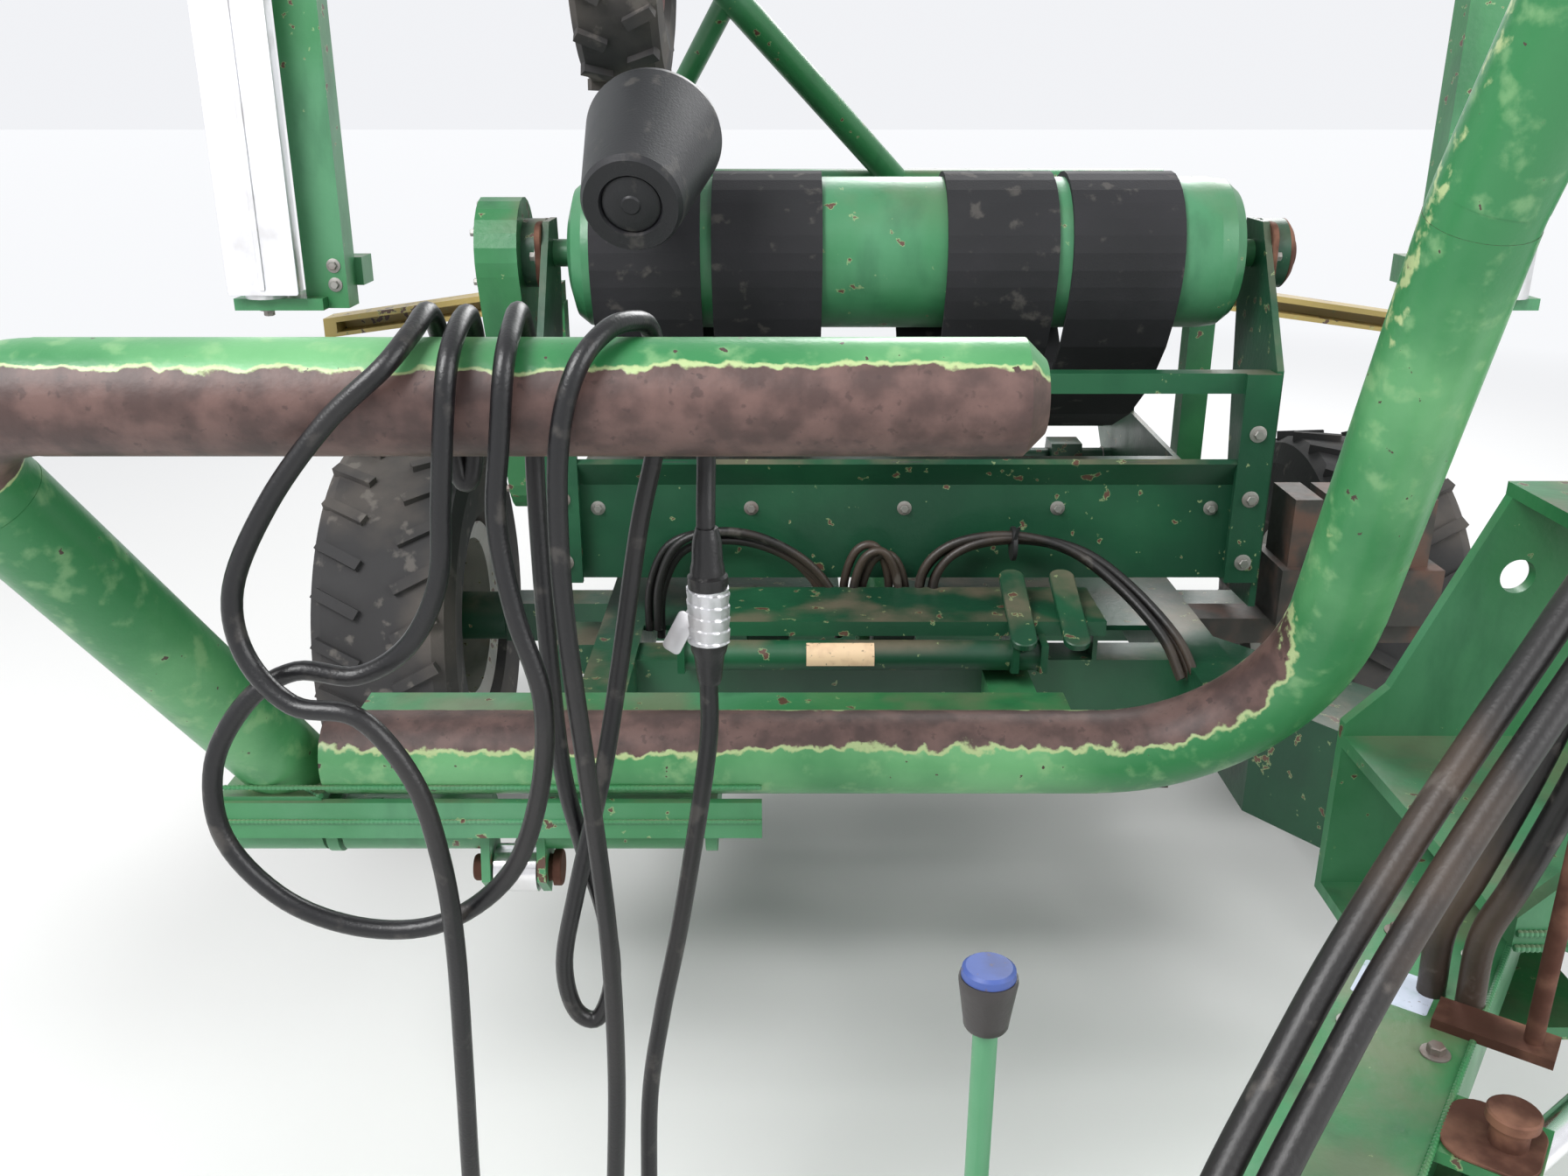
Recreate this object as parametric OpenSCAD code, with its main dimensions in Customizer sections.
// Trailed bale wrapper with belt table, loading arm, two film stretchers and a tipping frame.
// Travel is towards -Y, +Z is up, and the origin is on the ground below the middle of the machine.

/* [Wheels] */
// Outside diameter of a road tyre
tyre_d = 845; // [780:5:900]
// Width of a road tyre
tyre_w = 290; // [250:5:320]
// Sideways distance from the middle to each wheel
wheel_x = 1035; // [1010:5:1060]
// Lengthwise place of the axle
axle_y = 700; // [650:5:750]

/* [Table] */
// Diameter of a table roller
roller_d = 270; // [240:2:300]
// Length of a table roller
roller_l = 1220; // [1160:5:1240]
// Width of one table belt
belt_w = 195; // [160:1:205]
// Thickness of a table belt
belt_t = 9; // [6:1:12]

/* [Rotor] */
// Height of the underside of the turning arm
rotor_z = 2700; // [2600:10:2900]
// Distance from the rotor axis to each stretcher post
post_r = 1205; // [1190:5:1215]

/* [Drawbar] */
// Length from the swing pin to the hitch eye
drawbar_l = 1400; // [1350:10:1450]
// Angle of the parked drawbar, inwards from straight ahead
drawbar_angle = 36; // [34:1:38]

/* [Arm] */
// Outside diameter of the bent loading tubes
pipe_d = 114; // [108:2:120]

/* [Hidden] */
$fn = 48;
green = "#2f8a45";
dark = "#1f5c33";
black = "#26262a";
steel = "#b9bcc0";
yellow = "#d9b24a";
rust = "#6e473b";
gap = 0.3;

// chassis levels and places
frame_top = 620;
frame_h = 120;
frame_w = 80;
rail_x = 520;
frame_front = -160;
frame_rear = 1360;
beam_top = frame_top;
axle_w = 90;
hub_r = 55;
track_in = wheel_x - tyre_w / 2;

// table places, as [y, z]
front_at = [370, 1270];
rear_at = [1230, 1130];
roller_r = roller_d / 2;
side_x = 650;
side_t = 12;
hinge_at = [1300, 640];
shaft_r = 25;

// belt places along the rollers
belt_x = [-465, -250, 165, 385];

// bar and loading arm, as [y, z]
pipe_r = pipe_d / 2;
bar_at = [-530, 700];
bar_left = -840;
bar_corner = 470;
bar_up = 1280;
bar_lean = 20.7;
bend_r = 265;
arm_lean = 33.5;
arm_at = [-500, 575];
finger_left = -1090;
finger_foot = -905;
seat_z = 655;
finger_up = 688;
finger_end = 30;
finger_bend = 120;

// drawbar, headstock and tower places
pin_at = [770, -520];
bar_z = 400;
bar_h = 150;
bar_w = 150;
pin_r = 30;
post_at = [1020, -560];
post_w = 160;
head_top = 1000;
head_low = 340;
plate_t = 20;

// rotor and stretchers
rotor_y = 800;
arm_h = 120;
boom_h = 160;
drive_h = 150;
boom_z = rotor_z + arm_h + drive_h;
post_low = 1110;

// tipping frame, as [y, z], and the cone's two ends as [x, y, z]
tip_at = [1650, 950];
tip_lug = 62.6;
tip_end = [770, 1950];
tip_wheel = [640, 1830];
tip_wheel_x = -525;
tip_tyre_d = 560;
tip_tyre_w = 170;
cone_big = [-434, 200, 1490];
cone_small = [-455, -50, 1385];

// cylinders as [base y, base z], [eye y, eye z] or plan places
swing_base = [1140, -640];
swing_lug = [135, -625];
swing_z = 500;
arm_base = [250, 430];
arm_eye = [-511, 506];
arm_cyl_x = -600;
tilt_base = [150, 470];
tilt_eye = [700, 700];
tilt_x = -40;
barrel_r = 38;
rod_r = 20;

// cable over the finger, from its clip to its plug
cable_d = 20;
cable_route = [
    [-300, -842, 1262], [-300, -842, 1200], [-301, -860, 1130], [-300, -862, 1060], [-301, -864, 960],
    [-304, -868, 870], [-336, -878, 670], [-362, -884, 540], [-380, -890, 420], [-386, -900, 250],
    [-392, -930, 185], [-406, -955, 180], [-415, -970, 235], [-415, -978, 330], [-404, -985, 530],
    [-404, -986, 700], [-414, -986, 860], [-430, -984, 1060], [-432, -983, 1180], [-425, -981, 1260],
    [-408, -972, 1315], [-385, -940, 1342], [-365, -900, 1345], [-352, -856, 1330], [-348, -842, 1280],
    [-352, -838, 1210], [-372, -846, 1120], [-395, -858, 980], [-414, -872, 870], [-430, -884, 800],
    [-452, -895, 710], [-470, -896, 620], [-462, -894, 555], [-436, -892, 540], [-418, -886, 590],
    [-424, -878, 670], [-446, -866, 750], [-464, -866, 850], [-472, -862, 1000], [-476, -850, 1150],
    [-476, -840, 1240], [-476, -842, 1300], [-475, -880, 1350], [-474, -930, 1342], [-475, -972, 1315],
    [-482, -981, 1250], [-490, -984, 1170], [-478, -988, 1080], [-456, -992, 990], [-465, -996, 890],
    [-500, -1000, 800], [-570, -1003, 745], [-650, -1004, 738], [-730, -1003, 770], [-785, -1000, 840],
    [-788, -992, 920], [-750, -982, 985], [-700, -976, 1015], [-640, -976, 1010], [-585, -982, 1045],
    [-550, -986, 1110], [-540, -986, 1190], [-532, -983, 1265], [-526, -972, 1318], [-524, -925, 1345],
    [-524, -878, 1346], [-528, -843, 1298], [-536, -836, 1230], [-544, -842, 1175], [-556, -842, 1178],
    [-562, -836, 1240], [-560, -842, 1298], [-562, -880, 1350], [-566, -935, 1340], [-585, -974, 1314],
    [-640, -984, 1265], [-700, -990, 1190], [-740, -998, 1110], [-735, -1006, 1045], [-690, -1022, 1000],
    [-625, -1030, 990], [-580, -1030, 925], [-560, -1032, 840], [-553, -1034, 740], [-558, -1028, 580],
    [-566, -1016, 420], [-568, -1010, 300], [-568, -1010, 190]];

// hoses along the drawbar and over their holder, in the drawbar's own places
hose_d = 32;
holder_at = [130, -450];
holder_top = 1105;
hose_route = [
    [-50, -1180, 569], [-50, -1120, 569], [-52, -1050, 570], [-52, -985, 590], [-45, -920, 640],
    [-30, -855, 705], [-12, -790, 778], [10, -725, 850], [34, -660, 920], [58, -600, 985],
    [80, -545, 1042], [98, -500, 1090], [112, -472, 1125], [122, -448, 1140], [128, -425, 1130],
    [126, -412, 1080], [112, -406, 980], [86, -404, 850], [54, -404, 720], [32, -404, 640],
    [32, -404, 550]];

function unit(v) = v / norm(v);
function perp(v) = [-v[1], v[0]];
function turned(v, a) = [v[0] * cos(a) - v[1] * sin(a), v[0] * sin(a) + v[1] * cos(a)];

// Shared shapes
module box(low, high) {
    translate(low) cube(high - low);
}

// round bar between two points
module rod(a, b, r) {
    d = b - a;
    l = norm(d);
    translate(a)
        rotate([0, acos(d[2] / l), atan2(d[1], d[0])])
            cylinder(r = r, h = l);
}

// round bar along X
module rod_x(x0, x1, at, r) {
    translate([x0, at[0], at[1]]) rotate([0, 90, 0]) cylinder(r = r, h = x1 - x0);
}

// flat plate in the Y-Z plane, from x0 to x1, cut to a list of [y, z] corners
module side_plate(x0, x1, corners) {
    translate([x0, 0, 0])
        rotate([90, 0, 90])
            linear_extrude(x1 - x0) polygon(corners);
}

// flat plate in the X-Z plane, from y0 to y1, cut to a list of [x, z] corners
module cross_plate(y0, y1, corners) {
    translate([0, y1, 0])
        rotate([90, 0, 0])
            linear_extrude(y1 - y0) polygon(corners);
}

// pipe through flat points, with every inner corner bent to the same radius
module bent_pipe(pts, r, bend) {
    n = len(pts);
    ins = [for (i = [1:n - 2]) unit(pts[i] - pts[i - 1])];
    outs = [for (i = [1:n - 2]) unit(pts[i + 1] - pts[i])];
    angles = [for (i = [0:n - 3]) acos(ins[i] * outs[i])];
    cuts = [for (i = [0:n - 3]) bend * tan(angles[i] / 2)];
    starts = [for (i = [0:n - 2]) i == 0 ? pts[0] : pts[i] + outs[i - 1] * cuts[i - 1]];
    ends = [for (i = [0:n - 2]) i == n - 2 ? pts[n - 1] : pts[i + 1] - ins[i] * cuts[i]];
    for (i = [0:n - 2]) {
        rod([starts[i][0], starts[i][1], 0], [ends[i][0], ends[i][1], 0], r);
    }
    for (i = [0:n - 3]) {
        side = cross([ins[i][0], ins[i][1], 0], [outs[i][0], outs[i][1], 0])[2] > 0 ? 1 : -1;
        centre = ends[i] + side * bend * perp(ins[i]);
        from = side > 0 ? ends[i] - centre : starts[i + 1] - centre;
        translate([centre[0], centre[1], 0])
            rotate([0, 0, atan2(from[1], from[0])])
                rotate_extrude(angle = angles[i]) translate([bend, 0]) circle(r - 0.5);
    }
}

// stands a flat drawing up in the X-Z plane at a [y, z] line and leans it towards the front
module leaning(at, lean) {
    translate([0, at[0], at[1]]) rotate([90 + lean, 0, 0]) children();
}

// turns a drawing made along -Y from the drawbar pin to the parked drawbar
module on_drawbar() {
    translate([pin_at[0], pin_at[1], 0]) rotate([0, 0, -drawbar_angle]) children();
}

// turns a drawing made along -X at the origin onto a line from a to b
module along(a, b) {
    d = b - a;
    translate(a) rotate([0, acos(d[2] / norm(d)), atan2(d[1], d[0])]) children();
}

// round bar that follows a route of [x, y, z] points
module hose_tube(route, r, sides) {
    n = len(route);
    ways = [for (i = [0:n - 1]) unit(route[min(i + 1, n - 1)] - route[max(i - 1, 0)])];
    // a side direction carried along the route without twist
    across = [for (i = 0, a = unit(cross(ways[0], [0.31, 0.52, 0.17])); i < n;
        i = i + 1, a = i < n ? unit(a - (a * ways[i]) * ways[i]) : a) a];
    points = [for (i = [0:n - 1], k = [0:sides - 1])
        let (a = 360 * k / sides)
        route[i] + r * (cos(a) * across[i] + sin(a) * cross(ways[i], across[i]))];
    walls = [for (i = [0:n - 2], k = [0:sides - 1], half = [0, 1])
        let (k2 = (k + 1) % sides, a = i * sides, b = a + sides)
        half == 0 ? [a + k, b + k, b + k2] : [a + k, b + k2, a + k2]];
    ends = [[for (k = [0:sides - 1]) k], [for (k = [sides - 1:-1:0]) (n - 1) * sides + k]];
    polyhedron(points, concat(walls, ends));
}

// tyre about the X axis with rows of blocks on its tread
module tyre(x, at, d, w, rim_r, lugs) {
    r = d / 2;
    lug = 14;
    base = r - lug;
    shoulder = w * 0.5;
    translate([x, at[0], at[1]]) rotate([0, 90, 0]) {
        rotate_extrude($fn = 72)
            polygon([[rim_r, -w * 0.35], [rim_r + 18, -w * 0.355], [rim_r + 40, -w * 0.46],
                [base - 60, -shoulder],
                [base - 14, -w * 0.46], [base, -w * 0.38], [base, w * 0.38],
                [base - 14, w * 0.46], [base - 60, shoulder], [rim_r + 40, w * 0.46],
                [rim_r + 18, w * 0.355], [rim_r, w * 0.35]]);
        for (i = [0:lugs - 1], side = [-1, 1]) {
            rotate([0, 0, (i + side * 0.25) * 360 / lugs])
                translate([base - 8, 0, side * w * 0.27])
                    rotate([side * 28, 0, 0])
                        translate([0, -11, -w * 0.17]) cube([lug + 7, 22, w * 0.34]);
        }
    }
}

// pressed wheel disc with a rim well and a hub bore
module rim(x, at, r, w, bore, out) {
    translate([x, at[0], at[1]]) rotate([0, 90, 0]) {
        rotate_extrude($fn = 64)
            polygon([[r - 22, -w * 0.36], [r + 16, -w * 0.40], [r + 16, -w * 0.365],
                [r - gap, -w * 0.355], [r - gap, w * 0.355], [r + 16, w * 0.365],
                [r + 16, w * 0.40], [r - 22, w * 0.36]]);
        translate([0, 0, out > 0 ? 10 : -30])
            difference() {
                cylinder(r = r - 20, h = 20);
                translate([0, 0, -1]) cylinder(r = bore, h = 22);
                for (a = [30:60:330]) {
                    rotate([0, 0, a]) translate([(r + bore) * 0.56, 0, -1]) cylinder(r = 18, h = 22);
                }
            }
    }
}

// Chassis
module main_frame() {
    color(dark) {
        difference() {
            union() {
                for (x = [-rail_x, rail_x]) {
                    box([x - frame_w / 2, frame_front, frame_top - frame_h],
                        [x + frame_w / 2, frame_rear, frame_top]);
                    side_plate(x - frame_w / 2, x + frame_w / 2,
                        [[hinge_at[0] - 60, frame_top], [hinge_at[0] + 60, frame_top],
                        [hinge_at[0] + 40, hinge_at[1] + 45], [hinge_at[0] - 40, hinge_at[1] + 45]]);
                }
                for (y = [0, 980, frame_rear - frame_w]) {
                    box([-rail_x + frame_w / 2, y, frame_top - frame_h],
                        [rail_x - frame_w / 2, y + frame_w, frame_top - 10]);
                }
                // deck plates between the rails, with a slot for the table cylinder
                box([-rail_x, 140, frame_top - 10], [tilt_x - 70, 430, frame_top]);
                box([tilt_x + 70, 140, frame_top - 10], [rail_x, 430, frame_top]);
                box([tilt_x - 71, 140, frame_top - 10], [tilt_x + 71, 235, frame_top]);
                // raised deck plate with a folded lip, on two legs
                box([-345, -50, 694], [330, 122, 702]);
                box([-345, -50, 676], [330, -44, 695]);
                for (x = [-345, 322]) {
                    box([x, 0, frame_top - 20], [x + 8, 110, 695]);
                }
                // cross tube on its plates at the front
                rod_x(-400, 225, [-60, frame_top + 25], 26);
                for (x = [-400, 165, 213]) {
                    side_plate(x, x + 12, [[-95, frame_top + 5], [-95, frame_top + 55], [-30, frame_top + 62],
                        [80, frame_top - 20], [10, frame_top - 20]]);
                }
                // slanted main beam to the headstock
                translate([0, 0, frame_top - 220])
                    linear_extrude(210)
                        polygon([[rail_x + frame_w / 2, 120], [rail_x + frame_w / 2, -160],
                            [660, -300], [800, -300], [800, -160]]);
                // ears for the table cylinder
                for (s = [-1, 1]) {
                    side_plate(tilt_x + s * 50 - 6, tilt_x + s * 50 + 6,
                        [[tilt_base[0] - 42, tilt_base[1] - 40], [tilt_base[0] + 42, tilt_base[1] - 40],
                        [tilt_base[0] + 42, tilt_base[1] + 30], [80, 605], [0, 605], [0, 500]]);
                }
                // ears for the loading arm cylinder
                for (s = [-1, 1]) {
                    side_plate(arm_cyl_x + s * 50 - 6, arm_cyl_x + s * 50 + 6,
                        [[arm_base[0] - 42, arm_base[1] - 40], [arm_base[0] + 42, arm_base[1] - 40],
                        [arm_base[0] + 60, 560], [arm_base[0] - 60, 560]]);
                }
                box([arm_cyl_x - 56, arm_base[0] - 60, 500],
                    [-rail_x - frame_w / 2, arm_base[0] + 60, 560]);
            }
            rod_x(-rail_x - 60, rail_x + 60, hinge_at, shaft_r);
        }
        rod_x(tilt_x - 60, tilt_x + 60, tilt_base, rod_r - gap);
        rod_x(arm_cyl_x - 60, arm_cyl_x + 60, arm_base, rod_r - gap);
    }
}

// slotted channel across the front with the brackets for the loading arm's shaft
module front_beam() {
    right = 240;
    color(green) {
        difference() {
            box([-900, frame_front - 110, frame_top - 60], [right, frame_front, frame_top]);
            box([-890, frame_front - 104, frame_top - 61], [right - 10, frame_front - 6, frame_top - 8]);
            for (i = [0:3]) {
                x = -390 + i * 140;
                box([x, frame_front - 94, frame_top - 20], [x + 105, frame_front - 70, frame_top + 1]);
            }
        }
        // stub beam to the first cross member
        box([130, frame_front, frame_top - 110], [210, 0, frame_top - 30]);
        for (x = [-860, -330]) {
            side_plate(x, x + 16, [[frame_front - 110, frame_top - 58], [frame_front - 110, frame_top - 2],
                [arm_at[0], arm_at[1] + 42], [arm_at[0], arm_at[1] - 42]]);
            rod_x(x, x + 16, arm_at, 42);
        }
        // two stub shafts, with the cylinder's eye between them
        rod_x(-990, -668, arm_at, shaft_r - gap);
        rod_x(-532, -306, arm_at, shaft_r - gap);
    }
}

module axle() {
    color(dark) {
        box([-track_in + 40, axle_y - axle_w / 2, tyre_d / 2 - axle_w / 2],
            [track_in - 40, axle_y + axle_w / 2, tyre_d / 2 + axle_w / 2]);
        for (s = [-1, 1]) {
            rod_x(s > 0 ? track_in - 40 : -wheel_x - 60, s > 0 ? wheel_x + 60 : -track_in + 40,
                [axle_y, tyre_d / 2], hub_r - 0.5);
            box([s * rail_x - frame_w / 2, axle_y - axle_w / 2, tyre_d / 2 + axle_w / 2],
                [s * rail_x + frame_w / 2, axle_y + axle_w / 2, frame_top - frame_h]);
        }
    }
}

// two upright plates with a lifting hole, a foot for the tower and the drawbar's pin
module headstock() {
    head_y = [-300, -820];
    color(green) {
        difference() {
            for (y = head_y) {
                cross_plate(y - plate_t, y,
                    [[640, 380], [1180, 380], [1180, head_top], [830, head_top], [700, 700], [640, 640]]);
            }
            translate([860, 0, 880]) rotate([90, 0, 0]) cylinder(r = 26, h = 1200);
            // clear way for the swinging drawbar
            box([500, head_y[1] - plate_t - 1, 379], [1181, head_y[1] + 1, 600]);
        }
        box([830, head_y[1] - plate_t, head_top], [1180, head_y[0], head_top + plate_t]);
        box([640, head_y[1], 600], [1180, head_y[0] - plate_t, 600 + plate_t]);
        box([640, -680, 340], [900, head_y[0], 340 + plate_t]);
        box([640, head_y[0] - plate_t, 340], [1180, head_y[0], 380]);
        translate([pin_at[0], pin_at[1], 350]) cylinder(r = pin_r, h = 255);
        translate([pin_at[0], pin_at[1], 340 + plate_t])
            cylinder(r = pin_r + 20, h = bar_z - 340 - plate_t - gap);
        // ears and pin for the swing cylinder
        translate([swing_base[0], swing_base[1], swing_z]) {
            box([-42, -42, 44], [55, 42, 600 - swing_z]);
            box([-42, -42, -58], [55, 42, -44]);
            box([42, -42, -50], [55, 42, 50]);
        }
        translate([swing_base[0], swing_base[1], swing_z - 50]) cylinder(r = rod_r - gap, h = 100);
    }
}

// fixed bar with the big bend, on two posts from the front beam
module guard_bar() {
    color(rust)
        leaning(bar_at, bar_lean) {
            bent_pipe([[bar_left, 0], [bar_corner, 0], [bar_corner + 5, bar_up * 0.62],
                [bar_corner + 55, bar_up]], pipe_r, bend_r);
            translate([bar_corner + 55, bar_up, 0])
                rotate([0, 0, atan2(bar_up * 0.38, 50)])
                    rotate([0, 90, 0]) cylinder(r1 = pipe_r, r2 = pipe_r - 18, h = 20);
        }
    color(green)
        for (x = [-720, 60, 290]) {
            side_plate(x, x + 16, [[bar_at[0] - 20, bar_at[1] - pipe_r + 12],
                [bar_at[0] + 25, bar_at[1] - pipe_r + 12],
                [frame_front - 110, frame_top - 60], [frame_front - 110, frame_top - 12],
                [bar_at[0] + pipe_r + 40, bar_at[1] + 10], [bar_at[0] + pipe_r - 8, bar_at[1] + 20],
                [bar_at[0] + 20, bar_at[1]]]);
        }
}

module tower() {
    top = boom_z + boom_h;
    d = [-post_at[0], rotor_y - post_at[1]];
    color(green) {
        box([post_at[0] - post_w / 2, post_at[1] - post_w / 2, head_top + plate_t],
            [post_at[0] + post_w / 2, post_at[1] + post_w / 2, top]);
        translate([post_at[0], post_at[1], 0])
            rotate([0, 0, atan2(d[1], d[0])]) {
                box([0, -boom_h / 2, boom_z], [norm(d) + 120, boom_h / 2, top]);
                // brace under the boom
                translate([0, 12, 0])
                    rotate([90, 0, 0])
                        linear_extrude(24)
                            polygon([[60, boom_z + 1], [60, boom_z - 320], [420, boom_z + 1]]);
            }
    }
}

module rotor_drive() {
    color(black)
        translate([0, rotor_y, 0]) {
            translate([0, 0, rotor_z + arm_h + gap]) cylinder(r = 120, h = drive_h - gap);
            translate([0, 0, boom_z + boom_h]) cylinder(r = 70, h = 180);
        }
}

// valve block on the right of the frame
module valve_bank() {
    color(steel)
        for (i = [0:3]) {
            box([715 + i * 70, 180, frame_top + 100], [765 + i * 70, 300, frame_top + 230]);
        }
    color(green)
        box([rail_x + frame_w / 2, 200, frame_top - 60], [1000, 280, frame_top - 10]);
    color(dark)
        box([700, 160, frame_top - 10], [1000, 320, frame_top + 100]);
}

// film cutter: a channel with its jaws, on a leg from the frame
module cutter(s) {
    y = 1040;
    color(yellow)
        difference() {
            cross_plate(y - 40, y + 40,
                [[s * 740, 1080], [s * 740, 1130], [s * 1300, 1050], [s * 1300, 1005]]);
            cross_plate(y - 50, y + 25,
                [[s * 800, 1084], [s * 800, 1108], [s * 1270, 1042], [s * 1270, 1018]]);
        }
    color(green) {
        box([min(s * 735, s * 795), y - 30, 560], [max(s * 735, s * 795), y + 30, 1085]);
        box([min(s * 560, s * 795), y - 30, 500], [max(s * 560, s * 795), y + 30, 560]);
    }
}
module cutter_left() { cutter(-1); }
module cutter_right() { cutter(1); }

// Wheels
wheel_at = [axle_y, tyre_d / 2];
rim_r = 200;
module tyre_left() { color(black) tyre(-wheel_x, wheel_at, tyre_d, tyre_w, rim_r, 26); }
module tyre_right() { color(black) tyre(wheel_x, wheel_at, tyre_d, tyre_w, rim_r, 26); }
module rim_left() { color(steel) rim(-wheel_x, wheel_at, rim_r, tyre_w, hub_r, -1); }
module rim_right() { color(steel) rim(wheel_x, wheel_at, rim_r, tyre_w, hub_r, 1); }

// Drawbar
module drawbar_beam() {
    color(green)
        on_drawbar() {
            difference() {
                union() {
                    box([-bar_w / 2, -drawbar_l + 110, bar_z], [bar_w / 2, -30, bar_z + bar_h]);
                    translate([0, 0, bar_z]) cylinder(r = bar_w / 2, h = bar_h);
                    for (z = [swing_z - 49, swing_z + 35]) {
                        box([bar_w / 2 - 1, swing_lug[1] - 50, z],
                            [swing_lug[0] + 36, swing_lug[1] + 50, z + 14]);
                    }
                }
                translate([0, 0, bar_z - 1]) cylinder(r = pin_r + 0.5, h = bar_h + 2);
                translate([swing_lug[0], swing_lug[1], bar_z]) cylinder(r = rod_r, h = bar_h);
            }
        }
}

module hitch_eye() {
    color(dark)
        on_drawbar()
            translate([0, -drawbar_l, bar_z + bar_h / 2]) {
                difference() {
                    union() {
                        translate([0, 0, -20]) cylinder(r = 60, h = 40);
                        box([-30, 0, -20], [30, 110, 20]);
                        box([-bar_w / 2, 95, -bar_h / 2], [bar_w / 2, 110, bar_h / 2]);
                    }
                    translate([0, 0, -30]) cylinder(r = 25, h = 60);
                }
            }
}

jack_y = -1340;
jack_x = -bar_w / 2 - 50;
jack_r = 38;
module jack_sleeve() {
    color(green)
        on_drawbar()
            difference() {
                union() {
                    translate([jack_x, jack_y, 300]) cylinder(r = jack_r, h = 360);
                    box([jack_x, jack_y - 30, bar_z + 20], [-bar_w / 2, jack_y + 30, bar_z + bar_h - 20]);
                    // plate along the beam's side
                    box([-bar_w / 2 - 14, jack_y - 30, bar_z + 20],
                        [-bar_w / 2, jack_y + 160, bar_z + bar_h - 20]);
                }
                translate([jack_x, jack_y, 299]) cylinder(r = jack_r - 8, h = 350);
            }
}

module jack_leg() {
    color(steel)
        on_drawbar() {
            translate([jack_x, jack_y, 12]) cylinder(r = jack_r - 8.5, h = 330);
            translate([jack_x, jack_y, 0]) cylinder(r = 90, h = 12);
        }
}

module jack_crank() {
    reach = 137;
    color(green)
        on_drawbar()
            translate([jack_x, jack_y, 0]) rotate([0, 0, -72]) {
                translate([0, 0, 660.3]) cylinder(r = 12, h = 30);
                box([-reach - 10, -10, 690], [12, 10, 706]);
                translate([-reach, 0, 705]) cylinder(r = 9, h = 223);
            }
    color(black)
        on_drawbar()
            translate([jack_x, jack_y, 0]) rotate([0, 0, -72])
                translate([-reach, 0, 926]) cylinder(r1 = 15, r2 = 20, h = 42);
}

// bent rod on the drawbar that keeps the hoses up
module hose_holder() {
    x = holder_at[0];
    y = holder_at[1];
    color(dark)
        on_drawbar() {
            box([30, y - 25, bar_z + bar_h], [x + 25, y + 25, bar_z + bar_h + 12]);
            translate([x, y, bar_z + bar_h + 6]) cylinder(r = 10, h = holder_top - bar_z - bar_h - 6);
            rod([x - 45, y, holder_top], [x + 75, y, holder_top], 10);
        }
}
module hose_left() {
    color(black) on_drawbar() hose_tube([for (p = hose_route) p + [-16, 0, 0]], hose_d / 2, 10);
}
module hose_right() {
    color(black) on_drawbar() hose_tube([for (p = hose_route) p + [26, 0, 0]], hose_d / 2, 10);
}
module hose_couplings() {
    color(steel)
        on_drawbar()
            for (x = [-66, -24]) {
                start = hose_route[0];
                translate([x, start[1], start[2]]) rotate([90, 0, 0]) {
                    cylinder(r = 17, h = 30);
                    translate([0, 0, 29]) cylinder(r = 12, h = 36);
                }
            }
}

// Loading arm
module finger_tube() {
    slope = (finger_left - finger_foot) / (finger_up + 54);
    color(rust)
        difference() {
            leaning(bar_at, arm_lean) {
                bent_pipe([[finger_foot - 76 * slope, -130], [finger_left, finger_up],
                    [finger_end - 20, finger_up]], pipe_r, finger_bend);
                translate([finger_end - 20, finger_up, 0])
                    rotate([0, 90, 0]) cylinder(r1 = pipe_r, r2 = pipe_r - 20, h = 20);
            }
            box([finger_foot - 200, -700, 400], [finger_foot + 200, -300, seat_z]);
        }
    // clip of the cable
    clip = cable_route[0];
    color(green) box([clip[0] - 14, clip[1] - 16, clip[2]], [clip[0] + 14, clip[1] + 13, clip[2] + 26]);
}

module control_cable() { color(black) hose_tube(cable_route, cable_d / 2, 8); }

// taped connector on the first stretch of the cable
module cable_joint() {
    at = cable_route[3];
    color(steel)
        translate([at[0], at[1], 0]) rotate_extrude()
            polygon([[0, 955], [12, 955], [15, 975], [15, 1000], [21, 1005], [22, 1060], [20, 1072],
                [16, 1075], [16, 1110], [12, 1125], [0, 1125]]);
}
module cable_plug() {
    end = cable_route[len(cable_route) - 1];
    color(black)
        translate([end[0], end[1], 0]) rotate_extrude()
            polygon([[0, 105], [14, 105], [17, 110], [17, 150], [14, 155], [12, 190], [0, 190]]);
}

// plate and sleeve that carry the finger on the shaft, with the cylinder's horn
module arm_foot() {
    y = arm_at[0];
    z = arm_at[1];
    color(green)
        difference() {
            union() {
                rod_x(-838, -633, arm_at, shaft_r + 14);
                rod_x(-567, -336, arm_at, shaft_r + 14);
                rod_x(-985, -866, arm_at, shaft_r + 14);
                // seat of the finger
                box([-985, y - 75, seat_z - 15], [-846, y + 75, seat_z]);
                for (x = [-985, -882]) {
                    side_plate(x, x + 14,
                        [[y - 38, z], [y + 38, z], [y + 60, seat_z - 14], [y - 75, seat_z - 14]]);
                }
                // front plate and its webs
                box([-985, y - 82, z + 20], [-250, y - 70, z + 74]);
                for (x = [-985, -800, -480, -366]) {
                    side_plate(x, x + 14, [[y, z - 38], [y, z + 38], [y - 71, z + 66], [y - 71, z + 22]]);
                }
                for (x = [arm_cyl_x - 45, arm_cyl_x + 33]) {
                    side_plate(x, x + 12, [[y + 30, z], [y - 35, z + 15],
                        [arm_eye[0] - 40, arm_eye[1]], [arm_eye[0], arm_eye[1] - 40],
                        [arm_eye[0] + 40, arm_eye[1] - 10]]);
                }
            }
            rod_x(-990, 0, arm_at, shaft_r + 0.5);
            rod_x(arm_cyl_x - 60, arm_cyl_x + 60, arm_eye, rod_r);
        }
}

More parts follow.
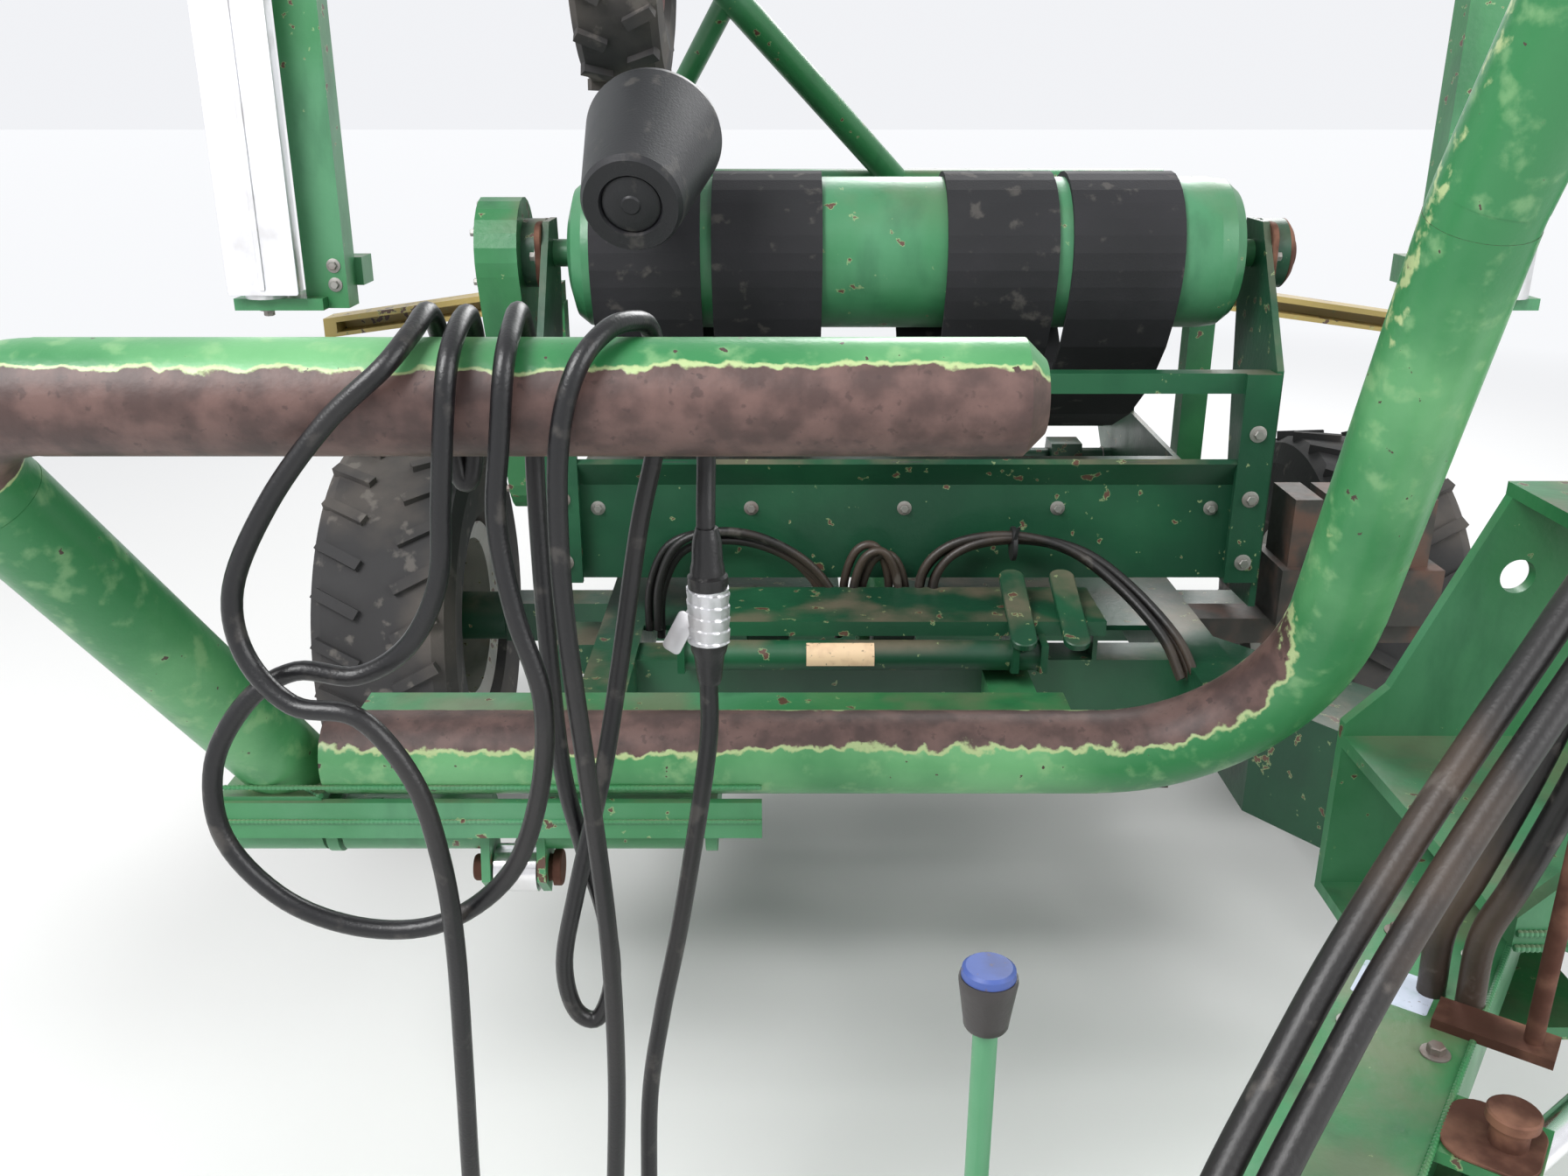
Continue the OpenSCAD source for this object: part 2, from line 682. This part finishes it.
// Table
module table_side(x) {
    side_plate(x - side_t / 2, x + side_t / 2,
        [[160, 650], [hinge_at[0] + 60, hinge_at[1] - 40], [tip_at[0] + tip_lug, tip_at[1] - 50],
        [tip_at[0] + tip_lug, tip_at[1] + 50],
        [rear_at[0] + 70, rear_at[1] - 40], [rear_at[0] + 50, rear_at[1] + 55],
        [rear_at[0] - 50, rear_at[1] + 55], [rear_at[0] - 70, rear_at[1] - 40],
        [hinge_at[0] - 160, 800], [front_at[0] - 20, 780],
        [front_at[0] + 60, front_at[1] - 40], [front_at[0] + 45, front_at[1] + 60],
        [front_at[0] - 45, front_at[1] + 60], [160, 1090]]);
}

module table_frame() {
    color(dark) {
        difference() {
            union() {
                for (x = [-side_x, side_x]) {
                    table_side(x);
                }
                // flanges that face the front
                for (s = [-1, 1]) {
                    box([min(s * side_x, s * (side_x - 60)), 150, 700],
                        [max(s * side_x, s * (side_x - 60)), 162, 1086]);
                }
            }
            for (at = [front_at, rear_at]) {
                rod_x(-side_x - 20, side_x + 20, at, shaft_r + 0.5);
            }
            rod_x(-side_x - 20, side_x + 20, tip_at, shaft_r);
        }
        // apron with its folded top, cross rail and beams
        cross_plate(180, 192,
            [[-side_x + 6, 700], [side_x - 6, 700], [side_x - 6, 880], [-side_x + 6, 880]]);
        side_plate(-side_x + 6, side_x - 6, [[180, 879], [150, 925], [160, 932], [192, 879]]);
        box([-side_x + 6, 162, 1050], [side_x - 6, 198, 1086]);
        box([-side_x + 6, 670, 740], [side_x - 6, 730, 790]);
        box([-side_x + 6, 1400, 700], [side_x - 6, 1440, 750]);
        rod_x(-side_x - 6, side_x + 6, hinge_at, shaft_r - 0.5);
        // bearings
        for (s = [-1, 1], at = [front_at, rear_at]) {
            difference() {
                rod_x(s > 0 ? side_x + 6 : -side_x - 46, s > 0 ? side_x + 46 : -side_x - 6, at, 62);
                rod_x(-800, 800, at, shaft_r + 0.5);
            }
        }
        // ears for the table cylinder
        difference() {
            for (x = [tilt_x - 45, tilt_x + 33]) {
                side_plate(x, x + 12, [[672, 745], [728, 745], [738, 690], [tilt_eye[0], 662], [662, 690]]);
            }
            rod_x(tilt_x - 60, tilt_x + 60, tilt_eye, rod_r);
        }
    }
}

module roller(at) {
    r = roller_r;
    h = roller_l / 2;
    translate([0, at[0], at[1]]) rotate([0, 90, 0])
        rotate_extrude($fn = 72)
            polygon([[0, -h], [r * 0.55, -h], [r * 0.85, -h + 12], [r * 0.97, -h + 32], [r, -h + 60],
                [r, h - 60], [r * 0.97, h - 32], [r * 0.85, h - 12], [r * 0.55, h], [0, h]]);
    rod_x(-side_x - 40, side_x + 40, at, shaft_r);
}
module front_roller() { color(green) roller(front_at); }
module rear_roller() { color(green) roller(rear_at); }

// middle line of a belt: round the front roller, slack below, round the rear roller, and back
belt_r = (roller_r + 2 * gap) / cos(6) + belt_t / 2;
function on_circle(at, a) = at + belt_r * [cos(a), sin(a)];
function bezier(a, b, c, d, t) =
    a * pow(1 - t, 3) + 3 * b * pow(1 - t, 2) * t + 3 * c * (1 - t) * t * t + d * pow(t, 3);
function heading(a) = [-sin(a), cos(a)];
slack = 430;
belt_line = concat(
    [for (a = [66:12:198]) on_circle(front_at, a)],
    [for (t = [0.02, 0.05, 0.1, 0.2, 0.3, 0.4, 0.5, 0.6, 0.7, 0.8, 0.9, 0.95, 0.98]) bezier(
        on_circle(front_at, 198), on_circle(front_at, 198) + slack * heading(198),
        on_circle(rear_at, 342) - slack * heading(342), on_circle(rear_at, 342), t)],
    [for (a = [342:12:438]) on_circle(rear_at, a)],
    [for (t = [0.2:0.2:0.8]) bezier(on_circle(rear_at, 78), on_circle(rear_at, 78) + 200 * heading(78),
        on_circle(front_at, 66) - 200 * heading(66), on_circle(front_at, 66), t)]);
function offset_line(pts, d) = [for (i = [0:len(pts) - 1])
    let (n = len(pts), t = unit(pts[(i + 1) % n] - pts[(i + n - 1) % n])) pts[i] - d * perp(t)];

module belts() {
    color(black)
        for (x = belt_x) {
            translate([x - belt_w / 2, 0, 0]) rotate([90, 0, 90])
                linear_extrude(belt_w)
                    difference() {
                        polygon(offset_line(belt_line, belt_t / 2));
                        polygon(offset_line(belt_line, -belt_t / 2));
                    }
        }
}

// round-ended case over the drive chain on the left
module chain_case() {
    low = [520, 840];
    r = 100;
    x0 = -side_x - 122;
    d = low - front_at;
    way = atan2(d[1], d[0]);
    color(green)
        side_plate(x0, x0 + 76, concat(
            [for (a = [90:15:270]) front_at + r * [cos(way + a), sin(way + a)]],
            [for (a = [-90:15:90]) low + r * [cos(way + a), sin(way + a)]]));
}

// Rotor
module rotor_arm() {
    color(green) {
        box([-post_r - 60, rotor_y - 60, rotor_z], [post_r + 60, rotor_y + 60, rotor_z + arm_h]);
    }
}

// stretcher post with its feet, guide bar and aluminium cover
module stretcher(s) {
    at = s * post_r;
    color(green) {
        box([at - 45, rotor_y - 35, post_low], [at + 45, rotor_y + 35, rotor_z]);
        box([min(at, at + s * 190), rotor_y - 70, post_low],
            [max(at, at + s * 190), rotor_y + 70, post_low + 25]);
        box([min(at, at + s * 190), rotor_y - 70, 2010], [max(at, at + s * 190), rotor_y + 70, 2035]);
        box([min(at, at - s * 60), rotor_y + 35, post_low + 40],
            [max(at, at - s * 60), rotor_y + 110, post_low + 100]);
    }
}
module stretcher_left() { stretcher(-1); }
module stretcher_right() { stretcher(1); }

module film_rollers() {
    color(steel)
        for (s = [-1, 1], y = [-48, 48]) {
            translate([s * (post_r + 125), rotor_y + y, post_low + 25 + gap]) {
                difference() {
                    cylinder(r = 44, h = 2010 - post_low - 25 - 2 * gap);
                    for (a = [0:45:315]) {
                        rotate([0, 0, a]) translate([44, -5, 20]) cube([10, 10, 870]);
                    }
                }
            }
        }
}

// Tipping frame
// point at a share of the way from the hinge to the far end, at a sideways place
function on_tip(s, x) = [x, tip_at[0] + s * (tip_end[0] - tip_at[0]),
    tip_at[1] + s * (tip_end[1] - tip_at[1])];
function right_x(s) = 60 - 977 * (s - 0.389);
function left_x(s) = -597 + 643 * (s - 0.389);

module tip_frame() {
    stub_x = -385;
    u = unit(cone_small - cone_big);
    stub = [stub_x, tip_wheel[0], tip_wheel[1]];
    color(green) {
        rod_x(-side_x - 44, side_x + 44, tip_at, shaft_r - 0.5);
        for (s = [-1, 1]) {
            rod(on_tip(0, s * (side_x + 40)), on_tip(0.389, s * (side_x + 40)), 28);
        }
        rod(on_tip(0.389, -side_x - 66), on_tip(0.389, side_x + 66), 32);
        rod(on_tip(0.389, right_x(0.389)), on_tip(0.86, right_x(0.86)), 33);
        rod(on_tip(0.389, left_x(0.389)), on_tip(0.80, left_x(0.80)), 25);
        rod(on_tip(0.85, stub_x), stub, 28);
        rod_x(tip_wheel_x - 90, stub_x + 30, tip_wheel, 24.5);
        // carrier and shaft of the cone
        rod(on_tip(0.55, left_x(0.55)), cone_big - 26 * u, 25);
        rod(cone_big - 50 * u, cone_big + 12 * u, 26);
        rod(cone_big, cone_small - 14 * u, 18);
    }
}

module guide_cone() {
    l = norm(cone_small - cone_big);
    color(black)
        along(cone_big, cone_small)
            rotate_extrude($fn = 64)
                polygon([[18.5, 14], [111, 14], [114, 28], [80, l - 12], [74, l], [50, l],
                    [46, l - 10], [18.5, l - 10]]);
}

module tip_tyre() { color(black) tyre(tip_wheel_x, tip_wheel, tip_tyre_d, tip_tyre_w, 130, 18); }
module tip_rim() { color("#6b2a2a") rim(tip_wheel_x, tip_wheel, 130, tip_tyre_w, 25, -1); }

// Cylinders
// barrel with a base eye at a, pointing to b, turned about its own line by roll
module barrel(a, b, l, roll) {
    along(a, b)
        rotate([0, 0, roll])
            difference() {
                union() {
                    translate([0, 0, 25]) cylinder(r = barrel_r, h = l - 25);
                    rotate([90, 0, 0]) translate([0, 0, -30]) cylinder(r = 34, h = 60);
                }
                rotate([90, 0, 0]) translate([0, 0, -31]) cylinder(r = rod_r, h = 62);
                translate([0, 0, 60]) cylinder(r = rod_r + 0.5, h = l);
            }
}

// rod with its eye at b
module ram(a, b, l, roll) {
    full = norm(b - a);
    along(a, b)
        rotate([0, 0, roll])
            difference() {
                union() {
                    translate([0, 0, full - l]) cylinder(r = rod_r, h = l - 25);
                    translate([0, 0, full])
                        rotate([90, 0, 0]) translate([0, 0, -30]) cylinder(r = 34, h = 60);
                }
                translate([0, 0, full]) rotate([90, 0, 0]) translate([0, 0, -31]) cylinder(r = rod_r, h = 62);
            }
}

swing_a = [swing_base[0], swing_base[1], swing_z];
swing_b = [pin_at[0] + swing_lug[0] * cos(drawbar_angle) + swing_lug[1] * sin(drawbar_angle),
    pin_at[1] - swing_lug[0] * sin(drawbar_angle) + swing_lug[1] * cos(drawbar_angle), swing_z];
arm_a = [arm_cyl_x, arm_base[0], arm_base[1]];
arm_b = [arm_cyl_x, arm_eye[0], arm_eye[1]];
tilt_a = [tilt_x, tilt_base[0], tilt_base[1]];
tilt_b = [tilt_x, tilt_eye[0], tilt_eye[1]];
module swing_barrel() { color(green) barrel(swing_a, swing_b, 455, 90); }
module swing_rod() { color(steel) ram(swing_a, swing_b, 430, 90); }
module arm_barrel() { color(green) barrel(arm_a, arm_b, 480, 0); }
module arm_rod() { color(steel) ram(arm_a, arm_b, 480, 0); }
module tilt_barrel() { color(green) barrel(tilt_a, tilt_b, 450, 0); }
module tilt_rod() { color(steel) ram(tilt_a, tilt_b, 450, 0); }

main_frame();
front_beam();
axle();
headstock();
guard_bar();
tower();
rotor_drive();
valve_bank();
cutter_left();
cutter_right();
tyre_left();
rim_left();
tyre_right();
rim_right();
drawbar_beam();
hitch_eye();
jack_sleeve();
jack_leg();
jack_crank();
hose_holder();
hose_left();
hose_right();
hose_couplings();
finger_tube();
arm_foot();
control_cable();
cable_joint();
cable_plug();
table_frame();
front_roller();
rear_roller();
belts();
chain_case();
rotor_arm();
stretcher_left();
stretcher_right();
film_rollers();
tip_frame();
guide_cone();
tip_tyre();
tip_rim();
swing_barrel();
swing_rod();
arm_barrel();
arm_rod();
tilt_barrel();
tilt_rod();
